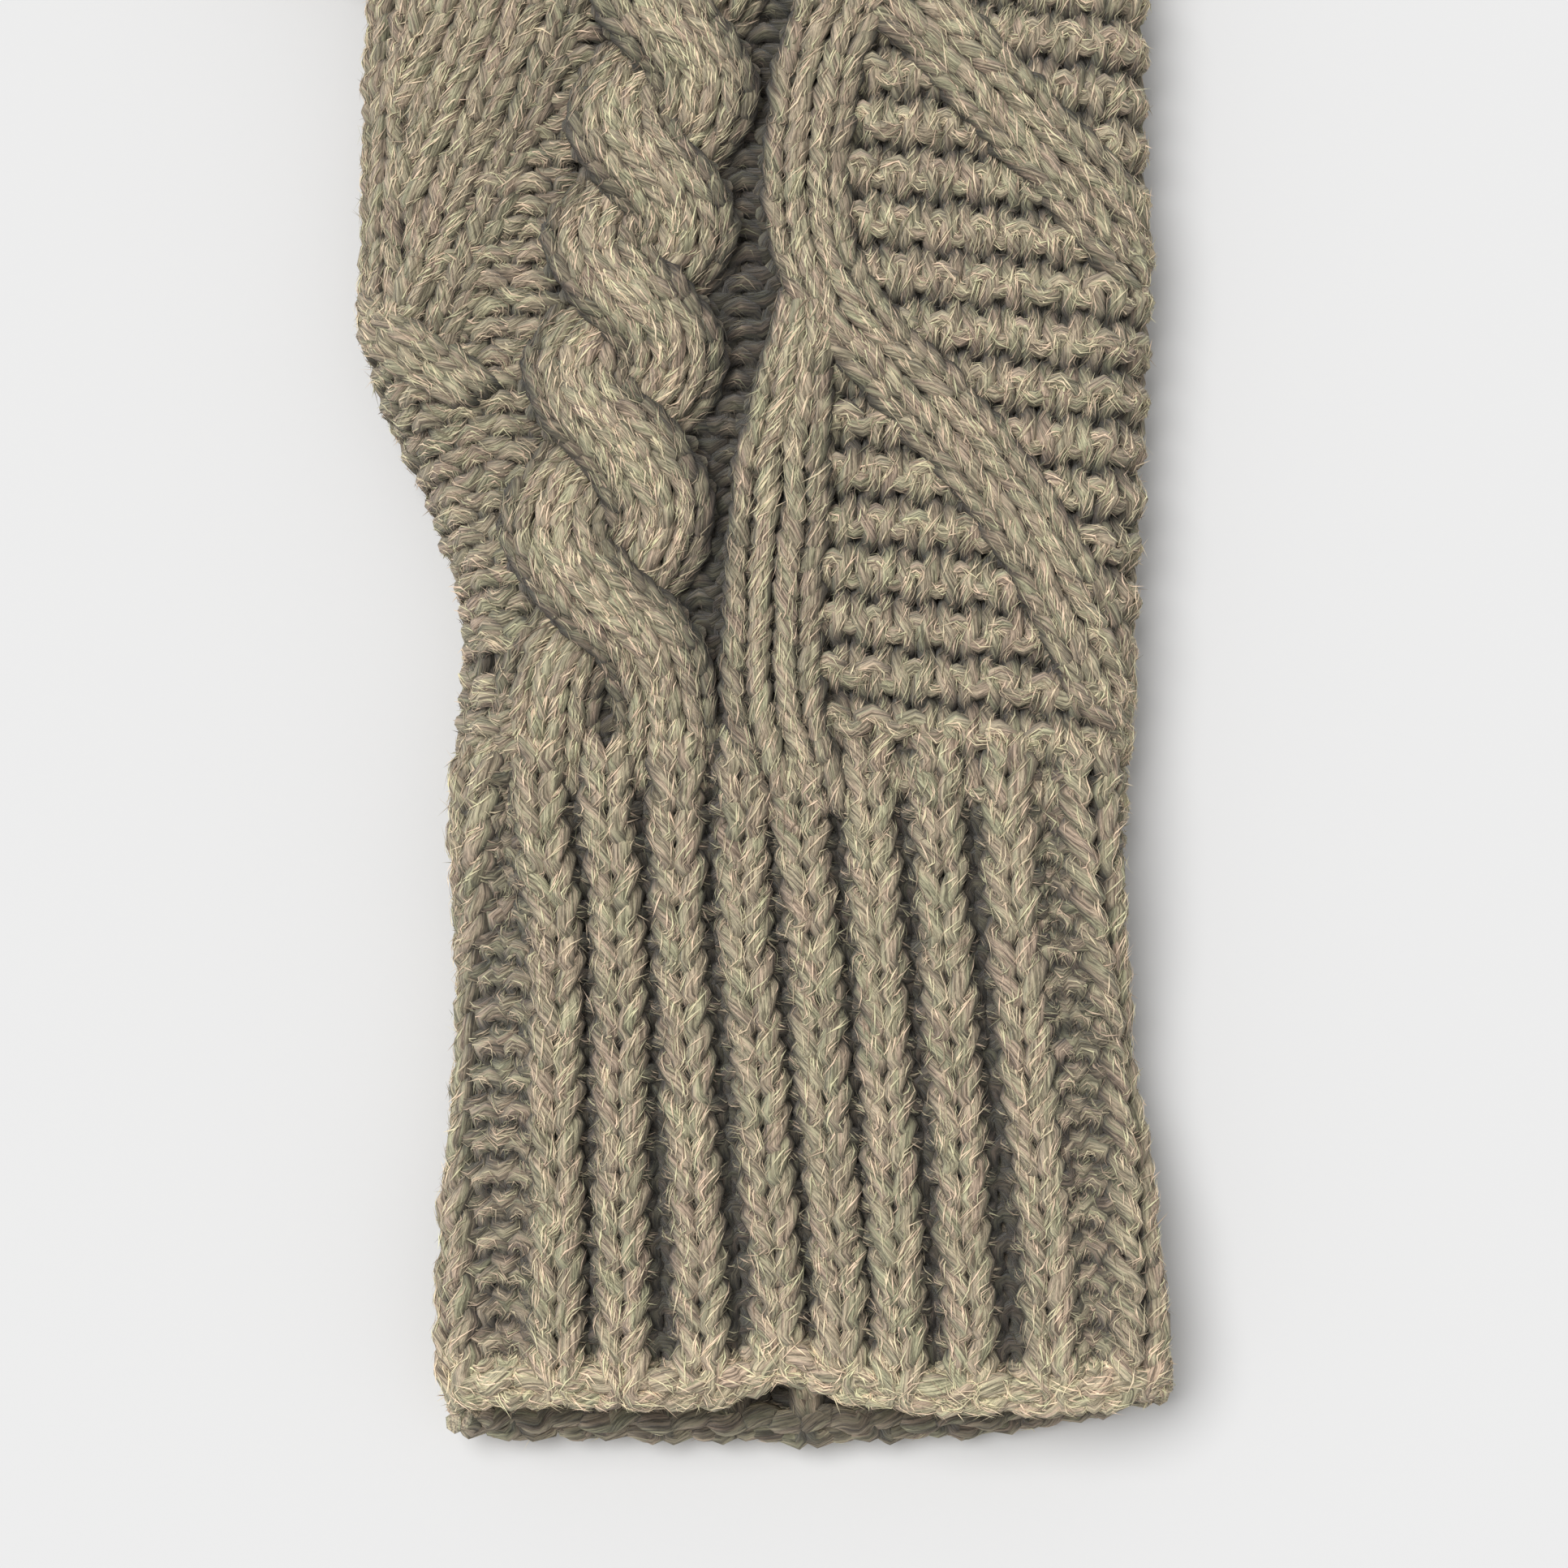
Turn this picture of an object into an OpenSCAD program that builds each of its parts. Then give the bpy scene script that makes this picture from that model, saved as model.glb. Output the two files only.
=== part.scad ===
// Cable-knit fingerless glove for the right hand, lying flat with the back of the hand up.
// X runs across the glove with the thumb on -X, Y runs from the cuff to the fingers, Z is up.
// The origin is the middle of the box round the glove, on the surface that it lies on.

/* [Cuff] */
// Width of the cuff at its open end
mouth_w = 90; // [86:1:94]
// Width of the cuff at its narrowest
waist_w = 80; // [77:1:83]
// Length of the ribbed cuff
cuff_len = 82; // [76:1:84]
// How much further the lower lip reaches than the upper one
lip_step = 5; // [4:1:6]
// Distance between neighbouring ribs
rib_pitch = 8; // [7.5:0.25:8.5]

/* [Hand] */
// Width across the hand
hand_w = 98; // [95:1:101]
// Width at the finger end
finger_w = 88; // [85:1:91]
// Length from the upper lip to the finger end
glove_len = 235; // [232:1:245]
// Length of the ribbed band at the finger end
finger_rib_len = 18; // [15:1:20]

/* [Thumb] */
// Width of the thumb opening at the hand
thumb_base_w = 30; // [28:1:32]
// Width of the thumb's open end
thumb_tip_w = 25; // [23:1:27]
// Length of the thumb beyond its fold
thumb_len = 18; // [15:1:22]
// Angle of the thumb towards the fingers
thumb_angle = 40; // [30:1:45]

/* [Fabric] */
// Height of the glove as it lies
lie_h = 16; // [15:0.5:17]
// Thickness of one layer
wall = 4; // [3.5:0.25:4]
// Length of an edge row, cast on or bound off
edge_len = 2.4; // [2:0.2:3]

/* [Cable and bands] */
// Height along the glove over which the rope cable turns once
rope_turn = 33; // [30:1:36]
// Width of one strand of the rope cable
strand_w = 10.6; // [9:0.2:10.8]
// Width of a travelling band
band_w = 10; // [9:0.5:11]
// How far a band stands out of the fabric
band_h = 2.2; // [1.8:0.2:2.6]
// Height along the glove from one crossing of the bands to the next
cross_pitch = 50; // [46:1:54]
// Distance between garter ridges
ridge_pitch = 6.2; // [5.8:0.2:6.6]

/* [Hidden] */

YARN = "#a89d86";
YARN_SHADE = "#988e79";
YARN_LIGHT = "#b6aa93";

ARC = 5;                 // steps in a quarter of the rolled side
RING_STEP = 10;          // least distance between the rings of a tube
MID = lie_h / 2;         // height of the rolled sides' centre line
SKIN_GAP = 0.3;          // room between pieces that move past each other
TRIM_GAP = 0.1;          // room between a strand and what it lies on
FOLD_INSET = 0.4;        // how far the folds lie inside their neighbours' skin

wrist_gap = 12;                               // length of the fold at the wrist
hand_start = cuff_len + wrist_gap;
wrist_y = cuff_len + wrist_gap / 2;           // hinge line of the wrist
finger_rib_start = glove_len - finger_rib_len;
relief_start = wrist_y + 9;                   // raised strands begin clear of the fold
relief_end = finger_rib_start - 1;

thumb_y = 193;                                // middle of the thumb opening
thumb_gap = 10;                               // length of the fold at the thumb
thumb_slot_x = -45.5;                         // face of the hand where the thumb leaves
thumb_base_x = thumb_slot_x - thumb_gap;
thumb_tip_h = 14;
thumb_dir = [-cos(thumb_angle), sin(thumb_angle)];
thumb_side = [sin(thumb_angle), cos(thumb_angle)];

heel_w = waist_w + 3.5;                       // where the cuff meets the hand

// How wide the glove is and where its middle lies, from the cuff to the fingers.
STATIONS = [
    [-lip_step, mouth_w, -0.5],
    [4, mouth_w, -0.5],
    [52, waist_w, -2.2],
    [84, heel_w, -2.4],
    [96, heel_w, -1.4],
    [136, hand_w, -7.2],
    [174, hand_w - 1.5, -7],
    [glove_len, finger_w, -5]
];

function ease(t) = t * t * (3 - 2 * t);
function share(a, b, y) = max(0, min(1, (y - a) / (b - a)));
function station(y, column, i = 0) =
    i >= len(STATIONS) - 2 || y <= STATIONS[i + 1][0]
        ? STATIONS[i][column] + (STATIONS[i + 1][column] - STATIONS[i][column])
            * ease(share(STATIONS[i][0], STATIONS[i + 1][0], y))
        : station(y, column, i + 1);
function middle_at(y) = station(y, 2);
function half_at(y) = station(y, 1) / 2;
function right_at(y) = middle_at(y) + half_at(y);
function left_at(y) = middle_at(y) - half_at(y);
function flat_right(y) = right_at(y) - MID;
function flat_left(y) = left_at(y) + MID;
function steps(a, b, most) = let (n = max(1, ceil((b - a) / most))) [for (i = [0:n]) a + (b - a) * i / n];

// The middle of the rope cable, and of the upright and slanting stretches of a band.
function rope_x(y) = -25 + 0.1 * (y - 84);
cross_y = 136;           // where the middle band turns away from the upright
function upright_x(y) = -6 + 0.1 * (y - 84);
slant = 0.7;             // sideways travel of a slanting band for each step down
function slant_x(y, cross) = upright_x(cross) + slant * (cross - y);

tip_centre = [thumb_base_x, thumb_y] + thumb_len * thumb_dir;
thumb_reach = tip_centre[0] + edge_len * thumb_dir[0] - thumb_tip_w / 2 * thumb_side[0];
box_right = mouth_w / 2 - 0.5;
to_origin = [-(box_right + thumb_reach) / 2, -(glove_len - lip_step) / 2, 0];

// Half of the outline of a flattened tube: over the top, from one rolled side to the other.
function over_the_top(half_w, h, inset) =
    let (r = h / 2 - inset, c = half_w - h / 2)
    concat(
        [for (i = [0:ARC]) [c + r * cos(90 * i / ARC), h / 2 + r * sin(90 * i / ARC)]],
        [for (i = [0:ARC]) [-c - r * sin(90 * i / ARC), h / 2 + r * cos(90 * i / ARC)]]
    );

// All of the outline of a flattened tube.
function all_round(half_w, h, inset) =
    let (top = over_the_top(half_w, h, inset), n = len(top))
    concat(top, [for (i = [1:n - 2]) let (p = top[n - 1 - i]) [p[0], h - p[1]]]);

function lay_across(outline, y) = [for (p = outline) [middle_at(y) + p[0], y, p[1]]];
function half_rings(ys, inset) = [for (y = ys) lay_across(over_the_top(half_at(y), lie_h, inset), y)];
function full_rings(ys, inset) = [for (y = ys) lay_across(all_round(half_at(y), lie_h, inset), y)];

// A walled tube, or half of one, skinned through rings of points.
module shell(outer, inner, closed = false) {
    m = len(outer);
    n = len(outer[0]);
    last = closed ? n - 1 : n - 2;
    function o(k, i) = k * n + i % n;
    function t(k, i) = (m + k) * n + i % n;
    walls = [for (k = [0:m - 2], i = [0:last]) each [
        [o(k, i), o(k, i + 1), o(k + 1, i + 1)], [o(k, i), o(k + 1, i + 1), o(k + 1, i)],
        [t(k, i), t(k + 1, i + 1), t(k, i + 1)], [t(k, i), t(k + 1, i), t(k + 1, i + 1)]
    ]];
    ends = [for (i = [0:last]) each [
        [o(0, i + 1), o(0, i), t(0, i)], [o(0, i + 1), t(0, i), t(0, i + 1)],
        [o(m - 1, i), o(m - 1, i + 1), t(m - 1, i)],
        [o(m - 1, i + 1), t(m - 1, i + 1), t(m - 1, i)]
    ]];
    e = n - 1;
    edges = closed ? [] : [for (k = [0:m - 2]) each [
        [o(k, 0), o(k + 1, 0), t(k + 1, 0)], [o(k, 0), t(k + 1, 0), t(k, 0)],
        [o(k + 1, e), o(k, e), t(k, e)], [o(k + 1, e), t(k, e), t(k + 1, e)]
    ]];
    polyhedron(points = [for (ring = concat(outer, inner)) each ring],
               faces = concat(walls, ends, edges));
}

// A solid strand skinned through rings of points, each ring convex.
module strand(rings) {
    m = len(rings);
    n = len(rings[0]);
    function o(k, i) = k * n + i % n;
    sides = [for (k = [0:m - 2], i = [0:n - 1]) each [
        [o(k, i), o(k, i + 1), o(k + 1, i + 1)], [o(k, i), o(k + 1, i + 1), o(k + 1, i)]
    ]];
    ends = [for (i = [1:n - 2]) each [
        [o(0, i + 1), o(0, i), o(0, 0)], [o(m - 1, 0), o(m - 1, i), o(m - 1, i + 1)]
    ]];
    polyhedron(points = [for (ring = rings) each ring], faces = concat(sides, ends));
}

// A rounded bar that lies on a level surface along a path of [x, y] points.
module bar(path, w, h, z) {
    n = len(path);
    strand([for (k = [0:n - 1])
        let (d = path[min(k + 1, n - 1)] - path[max(k - 1, 0)], s = [d[1], -d[0]] / norm(d))
        [for (a = [0:30:180]) let (p = path[k] + s * (w / 2 * cos(a))) [p[0], p[1], z + h * sin(a)]]
    ]);
}

module upper(y0, y1) {
    ys = steps(y0, y1, RING_STEP);
    shell(half_rings(ys, 0), half_rings(ys, wall));
}
module lower(y0, y1) {
    translate([0, 0, lie_h]) mirror([0, 0, 1]) upper(y0, y1);
}
module tube(y0, y1, inset = 0) {
    ys = steps(y0, y1, RING_STEP);
    shell(full_rings(ys, inset), full_rings(ys, wall), closed = true);
}
module thumb_slot() {
    translate([thumb_slot_x - 60, thumb_y - thumb_base_w / 2, -1]) cube([60, thumb_base_w, lie_h + 2]);
}

// ---- cuff ----
module cuff_upper_rib() { color(YARN) upper(edge_len, cuff_len); }
module cuff_lower_rib() { color(YARN_SHADE) lower(edge_len - lip_step, cuff_len); }
module cuff_rib_wales() {
    count = 8;
    wale_w = 5.6;
    wale_h = 1.2;
    color(YARN_LIGHT)
        for (i = [0:count - 1])
            bar([for (y = steps(edge_len + 1, cuff_len - 1, RING_STEP))
                    [middle_at(y) + (i - (count - 1) / 2) * rib_pitch * half_at(y) * 2 / mouth_w, y]],
                wale_w, wale_h, lie_h);
}
module cast_on_edge() {
    color(YARN_LIGHT) {
        upper(0, edge_len);
        lower(-lip_step, edge_len - lip_step);
    }
}

// The sewn ridge inside the outer side, where the blank is closed into a tube.
seam_w = 2;
module side_seam(y0, y1) {
    color(YARN_SHADE)
        strand([for (y = steps(y0, y1, RING_STEP))
            let (x = right_at(y) - wall - SKIN_GAP)
            [[x, y, MID - seam_w / 2], [x, y, MID + seam_w / 2],
             [x - seam_w, y, MID + seam_w / 3], [x - seam_w, y, MID - seam_w / 3]]
        ]);
}
module cuff_side_seam() { side_seam(0, cuff_len); }

// A yarn end darned in on the inside, along the lower layer.
tail_d = 2;
tail_len = 24;
module tail(y0) {
    color(YARN)
        bar([for (y = steps(y0, y0 + tail_len, 4)) [flat_right(y) - tail_d + sin(30 * (y - y0)), y]],
            tail_d, tail_d * 0.8, wall);
}
module cast_on_tail() { tail(2); }

// ---- hand ----
module wrist_fold() { color(YARN_SHADE) tube(cuff_len + SKIN_GAP, hand_start, inset = FOLD_INSET); }
module hand_upper_panel() {
    color(YARN_SHADE) difference() {
        upper(hand_start, finger_rib_start);
        thumb_slot();
    }
}
module palm_panel() {
    color(YARN) difference() {
        lower(hand_start, finger_rib_start);
        thumb_slot();
    }
}

// The rope cable: two flat strands that wind round each other on top of the fabric.
strand_h = 2.4;
rope_swing = 5.6;
rope_lift = strand_h / 2 + 0.15;
rope_z = lie_h + rope_lift + strand_h / 2 + TRIM_GAP;
module rope_strand(phase) {
    strand([for (y = steps(relief_start, relief_end, 3))
        let (a = phase + 360 * (y - relief_start) / rope_turn,
             c = [rope_x(y) + rope_swing * cos(a), rope_z + rope_lift * sin(a)])
        [for (q = [0:36:324]) [c[0] + strand_w / 2 * cos(q), y, c[1] + strand_h / 2 * sin(q)]]
    ]);
}
module rope_strand_a() { color(YARN_LIGHT) rope_strand(0); }
module rope_strand_b() { color(YARN) rope_strand(180); }

// A travelling band comes out from under the band above it, runs upright to its crossing, then slants away.
module travelling_band(top, cross) {
    slant_end = cross - (flat_right(cross) - band_w / 2 - 1 - upright_x(cross)) / slant;
    low = max(slant_end, relief_start);
    upright = [for (y = steps(cross + 3, top, 5)) [upright_x(y), y]];
    slanting = [for (y = steps(low, cross - 3, 5)) [slant_x(y, cross), y]];
    bar(concat(slanting, upright), band_w, band_h, lie_h);
}
under_gap = 1.6 * band_w; // room for the band that crosses over
module upper_travelling_band() {
    color(YARN_LIGHT) travelling_band(relief_end, cross_y + cross_pitch);
}
module middle_travelling_band() {
    color(YARN_LIGHT) travelling_band(cross_y + cross_pitch - under_gap, cross_y);
}
module lower_travelling_band() {
    color(YARN_LIGHT)
        bar([for (y = steps(relief_start, cross_y - under_gap, 5)) [upright_x(y), y]],
            band_w, band_h, lie_h);
}

// Garter ridges fill the ground between the bands.
ridge_w = 3.4;
ridge_h = 1.2;
module ridge(x0, x1, y) {
    if (x1 - x0 > 4) bar([[x0, y], [(x0 + x1) / 2, y], [x1, y]], ridge_w, ridge_h, lie_h);
}
module garter_ridges() {
    clear = band_w / 2 * sqrt(1 + slant * slant) + ridge_w / 2 + 2;
    color(YARN)
        for (y = [relief_start + 3:ridge_pitch:relief_end - 3]) {
            start = upright_x(y) + band_w / 2 + 2.5;
            end = flat_right(y) - 1;
            cross = cross_y + cross_pitch * ceil((y - cross_y) / cross_pitch);
            band = slant_x(y, cross);
            ridge(start, min(end, band - clear), y);
            ridge(max(start, band + clear), end, y);
        }
}
module gusset_band() {
    color(YARN_LIGHT)
        bar([for (y = steps(cross_y + 3, thumb_y - thumb_base_w / 2 - 4, 4)) [-43 + 0.33 * (y - cross_y), y]],
            band_w * 0.7, band_h, lie_h);
}
module hand_side_seam() { side_seam(hand_start, glove_len - edge_len); }

// ---- finger end ----
module finger_rib_upper() { color(YARN) upper(finger_rib_start, glove_len - edge_len); }
module finger_rib_lower() { color(YARN_SHADE) lower(finger_rib_start, glove_len - edge_len); }
module finger_rib_wales() {
    count = 8;
    color(YARN_LIGHT)
        for (i = [0:count - 1])
            bar([for (y = steps(finger_rib_start + 1, glove_len - edge_len - 1, RING_STEP))
                    [middle_at(y) + (i - (count - 1) / 2) * rib_pitch, y]],
                5.6, 1.2, lie_h);
}
module bind_off_edge() { color(YARN_LIGHT) tube(glove_len - edge_len, glove_len); }
module bind_off_tail() { tail(glove_len - edge_len - tail_len - 2); }

// ---- thumb ----
THUMB_RINGS = [0, 0.33, 0.66, 1];
// A ring of the thumb, a share of the way from its base to its open end.
function thumb_ring(t, inset, beyond = 0) =
    let (c = [thumb_base_x, thumb_y] + (thumb_len * t + beyond) * thumb_dir,
         s0 = [0, 1] * (1 - ease(t)) + thumb_side * ease(t),
         s = s0 / norm(s0),
         w = thumb_base_w + (thumb_tip_w - thumb_base_w) * t,
         h = lie_h + (thumb_tip_h - lie_h) * t)
    [for (p = all_round(w / 2, h, inset)) [c[0] + s[0] * p[0], c[1] + s[1] * p[0], p[1]]];
module thumb_fold() {
    function ring(x, inset) = [for (p = all_round(thumb_base_w / 2, lie_h, inset)) [x, thumb_y + p[0], p[1]]];
    xs = [thumb_base_x + SKIN_GAP, thumb_slot_x];
    color(YARN_SHADE)
        shell([for (x = xs) ring(x, FOLD_INSET)], [for (x = xs) ring(x, wall)], closed = true);
}
module thumb_tube() {
    color(YARN)
        shell([for (t = THUMB_RINGS) thumb_ring(t, 0)], [for (t = THUMB_RINGS) thumb_ring(t, wall)],
              closed = true);
}
module thumb_rib_wales() {
    // Each wale lies on the thumb's top, which falls a little towards the open end.
    color(YARN_LIGHT)
        for (i = [-1:1])
            strand([for (t = [0.12, each [for (t = THUMB_RINGS) if (t > 0.12 && t < 0.88) t], 0.88])
                let (ring = thumb_ring(t, 0), a = ring[ARC], b = ring[ARC + 1], c = (a + b) / 2 + i * (a - b) / 2.6)
                [for (q = [0:30:180]) c + (a - b) / norm(a - b) * 2 * cos(q) + [0, 0, SKIN_GAP + 1.1 * sin(q)]]
            ]);
}
module thumb_bind_off_edge() {
    beyond = [0, edge_len];
    color(YARN_LIGHT)
        shell([for (b = beyond) thumb_ring(1, 0, b)], [for (b = beyond) thumb_ring(1, wall, b)], closed = true);
}

translate(to_origin) {
    cuff_upper_rib();
    cuff_lower_rib();
    cuff_rib_wales();
    cast_on_edge();
    cuff_side_seam();
    cast_on_tail();
    wrist_fold();
    hand_upper_panel();
    palm_panel();
    rope_strand_a();
    rope_strand_b();
    upper_travelling_band();
    middle_travelling_band();
    lower_travelling_band();
    garter_ridges();
    gusset_band();
    hand_side_seam();
    finger_rib_upper();
    finger_rib_lower();
    finger_rib_wales();
    bind_off_edge();
    bind_off_tail();
    thumb_fold();
    thumb_tube();
    thumb_rib_wales();
    thumb_bind_off_edge();
}
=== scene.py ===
import math
import bpy
import numpy as np
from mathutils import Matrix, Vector


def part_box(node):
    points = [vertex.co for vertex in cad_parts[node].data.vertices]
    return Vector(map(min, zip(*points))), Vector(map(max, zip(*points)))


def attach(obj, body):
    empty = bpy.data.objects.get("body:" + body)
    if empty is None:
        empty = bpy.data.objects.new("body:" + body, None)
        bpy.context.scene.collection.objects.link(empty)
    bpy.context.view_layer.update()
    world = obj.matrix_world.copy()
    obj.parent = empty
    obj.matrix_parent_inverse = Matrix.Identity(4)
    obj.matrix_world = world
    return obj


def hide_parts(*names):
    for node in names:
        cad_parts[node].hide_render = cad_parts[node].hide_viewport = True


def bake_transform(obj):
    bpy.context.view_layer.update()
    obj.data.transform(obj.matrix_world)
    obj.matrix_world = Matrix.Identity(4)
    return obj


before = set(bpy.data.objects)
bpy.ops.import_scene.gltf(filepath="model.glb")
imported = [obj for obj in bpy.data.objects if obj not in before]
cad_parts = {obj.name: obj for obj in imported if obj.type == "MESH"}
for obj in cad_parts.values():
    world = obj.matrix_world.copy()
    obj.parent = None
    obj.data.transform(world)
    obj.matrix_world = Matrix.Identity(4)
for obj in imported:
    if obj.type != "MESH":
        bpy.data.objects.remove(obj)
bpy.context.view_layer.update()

# ---- chart
# The knitting is worked out in millimetres on a chart: x = 0 near the middle of the cuff's mouth, y = 0 at
# its upper lip, y growing towards the fingers, z up from the surface that the glove lies on.
MM = 0.001
LIP_STEP = 5.0  # the lower lip lies this far in front of the upper one
MOUTH_LEFT = 0.5  # the mouth's middle is this far left of the chart's zero
mouth_low, mouth_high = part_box("cast_on_edge")
CHART_X = (mouth_low.x + mouth_high.x) / 2 / MM + MOUTH_LEFT
CHART_Y = mouth_low.y / MM + LIP_STEP
LIE_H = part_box("hand_upper_panel")[1].z / MM
MID_H = LIE_H / 2
SINK = 2.3  # from the fabric's face to the middle of its thickness
ROLL = MID_H - SINK  # radius of the rolled sides, at the middle of the fabric
UNDER_UP = 1.4  # keeps the yarn of the lower layer off the surface it lies on
CUFF_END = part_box("cuff_upper_rib")[1].y / MM - CHART_Y
FINGER_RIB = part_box("finger_rib_upper")[0].y / MM - CHART_Y
GLOVE_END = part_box("bind_off_edge")[1].y / MM - CHART_Y


def side_lines():
    """The glove's left and right side lines as (y, left x, right x), read from the lower layer's solids."""
    near = 0.01  # corners this close to mid height are on the sides
    least = 60  # two corners closer than this aren't on opposite sides
    found = {}
    for node in ("cast_on_edge", "cuff_lower_rib", "palm_panel", "finger_rib_lower", "bind_off_edge"):
        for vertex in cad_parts[node].data.vertices:
            x, y, z = (c / MM for c in vertex.co)
            if abs(z - MID_H) < near:
                low, high = found.get(round(y, 1), (x, x))
                found[round(y, 1)] = (min(low, x), max(high, x))
    thumb_low, thumb_high = (corner.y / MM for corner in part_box("thumb_fold"))
    rows = [
        (y - CHART_Y, low - CHART_X, high - CHART_X)
        for y, (low, high) in sorted(found.items())
        if high > low + least and not thumb_low - 1 < y < thumb_high + 1
    ]
    return np.array(rows).T


SIDE_Y, SIDE_LEFT, SIDE_RIGHT = side_lines()


def flat_left(y):
    return np.interp(y, SIDE_Y, SIDE_LEFT) + MID_H


def flat_right(y):
    return np.interp(y, SIDE_Y, SIDE_RIGHT) - MID_H


def wrap(u, y, lift, under=False):
    """Chart points on the flattened tube. u is x on the flat, and runs on round the rolled sides."""
    left, right = flat_left(y), flat_right(y)
    turn = np.where(u > right, (u - right) / ROLL, np.where(u < left, (u - left) / ROLL, 0.0))
    core = np.clip(u, left, right)
    out = np.stack([np.sin(turn), np.zeros_like(turn), np.cos(turn)], -1)
    points = np.stack([core, y, np.full_like(turn, MID_H)], -1) + out * (ROLL + lift)[..., None]
    if under:
        points[..., 2] = LIE_H - points[..., 2] + UNDER_UP * np.cos(turn)
        out = out * (1, 1, -1)
    return points, out


def unroll(x, y):
    """The u that wrap() takes to x."""
    left, right = flat_left(y), flat_right(y)
    past = np.where(x > right, x - right, np.where(x < left, x - left, 0.0))
    return np.clip(x, left, right) + ROLL * np.arcsin(np.clip(past / ROLL, -1, 1))


def wobble(a, b, seed):
    """A smooth, gentle unevenness between about -1 and 1."""
    waves = np.sin(1.9 * a + 0.7 * b + seed)
    waves = waves + np.sin(0.8 * a - 2.1 * b + 2 * seed)
    waves = waves + np.sin(2.7 * b + 1.3 * a + 3 * seed)
    return waves / 2.2


def sampled(at, along, values):
    """Three-part values, known at the places along, read at the places at."""
    return np.stack([np.interp(at, along, values[:, k]) for k in range(3)], -1)


def lengths_along(run):
    """The length of yarn up to each point of a run."""
    return np.concatenate([[0], np.cumsum(np.linalg.norm(np.diff(run, axis=0), axis=1))])


# ---- stitches
KNIT, PURL = 1, -1
UNEVEN = 0.25  # how far the yarn strays from its even place
SLIP = 0.16  # and how far each stitch slips, as a standard deviation
SAMPLES = 12  # points for each stitch


class Fabric:
    """Yarn runs gathered for one piece: points, the way out of the fabric, height in it, and radius."""

    def __init__(self, name, seed, sides=8):
        self.name = name
        self.sides = sides
        self.random = np.random.RandomState(seed)
        self.runs = []

    def add(self, points, out, level, radius):
        self.runs.append((points, out, level, radius))


def loop_course(kinds, swing, rise, nod):
    """One course of stitches as (wale position, rise, depth), with depth from -1 at the back to 1 in front.
    The loops' heads nod forward by nod."""
    count = len(kinds)
    t = np.linspace(0, count, count * SAMPLES + 1)
    stitch = np.minimum(t.astype(int), count - 1)
    part = t - stitch
    kind = np.array(kinds, float)
    here = kind[stitch]
    before = kind[np.maximum(stitch - 1, 0)]
    after = kind[np.minimum(stitch + 1, count - 1)]
    quarter = np.minimum((part * 4).astype(int), 3)
    ends = np.stack([-(before + here) / 2, here, -here, here, -(after + here) / 2])
    index = np.arange(len(t))
    start, stop = ends[quarter, index], ends[quarter + 1, index]
    depth = start + (stop - start) * (1 - np.cos(np.pi * (part * 4 - quarter))) / 2
    head = -np.cos(2 * np.pi * part)
    return t + swing * np.sin(4 * np.pi * part), rise * head, depth + nod * head


def knit(fabric, rows, course, place, swing=0.22, rise=1.05, depth=1.0, radius=1.25, nod=0.0):
    """Knits a patch. course(row) gives (first wale, stitches). place(q, v) gives the fabric's middle, its
    outside and how far it stands out from the fabric about it."""
    for row in rows:
        first, kinds = course(row)
        q, v, z = loop_course(kinds, swing, rise, nod)
        q = q + first
        points, out, relief = place(q, row + v)
        seed = fabric.random.uniform(0, 6)
        slip = fabric.random.normal(0, SLIP, (len(kinds) + 1, 3))
        marks = np.arange(len(kinds) + 1)
        stitch = np.interp(q, first + marks, marks)
        loose = sampled(stitch, marks, slip)
        shake = np.stack([wobble(q, row + v, seed), wobble(v + q, q, seed + 1), wobble(q, v, seed + 2)], -1)
        line = points + out * (z * depth)[:, None] + shake * UNEVEN + loose
        # the level sets the painted shade, and where loose fibres are left out
        fabric.add(line, out, z * depth + relief, radius)


# ---- fibres
FIBRE_LENGTH = (1.2, 3.4)  # shortest and longest
FIBRE_SPREAD = 0.85  # radians about the yarn's outer side, as a standard deviation
FIBRE_LIFT = (1.3, 0.22)  # shape and scale of how far the ends stand off the yarn
FIBRE_WIDTH = 0.2  # at its middle, tapering to nothing at both ends
FIBRE_WIDTHS = (0.6, 1.2)  # least and most of that width
FIBRE_GAP = 0.07  # from the yarn's surface to the middle of a fibre
FIBRE_TWIST = 0.3  # radians for each millimetre along the yarn
TWIST_SPREAD = 0.15  # standard deviation of the twist
TONES = (0.2, 1.0)  # darkest and lightest fibre, as stored in the attribute loose
LOOSE_FROM = 0.1  # yarn has less than this in it
HIDDEN = -0.4  # fibres are left out where the yarn lies deeper in the fabric than this
FIBRE_FACES = np.array(((1, 2, 4), (2, 3, 4), (3, 1, 4), (2, 1, 0), (3, 2, 0), (1, 3, 0)))


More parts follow.
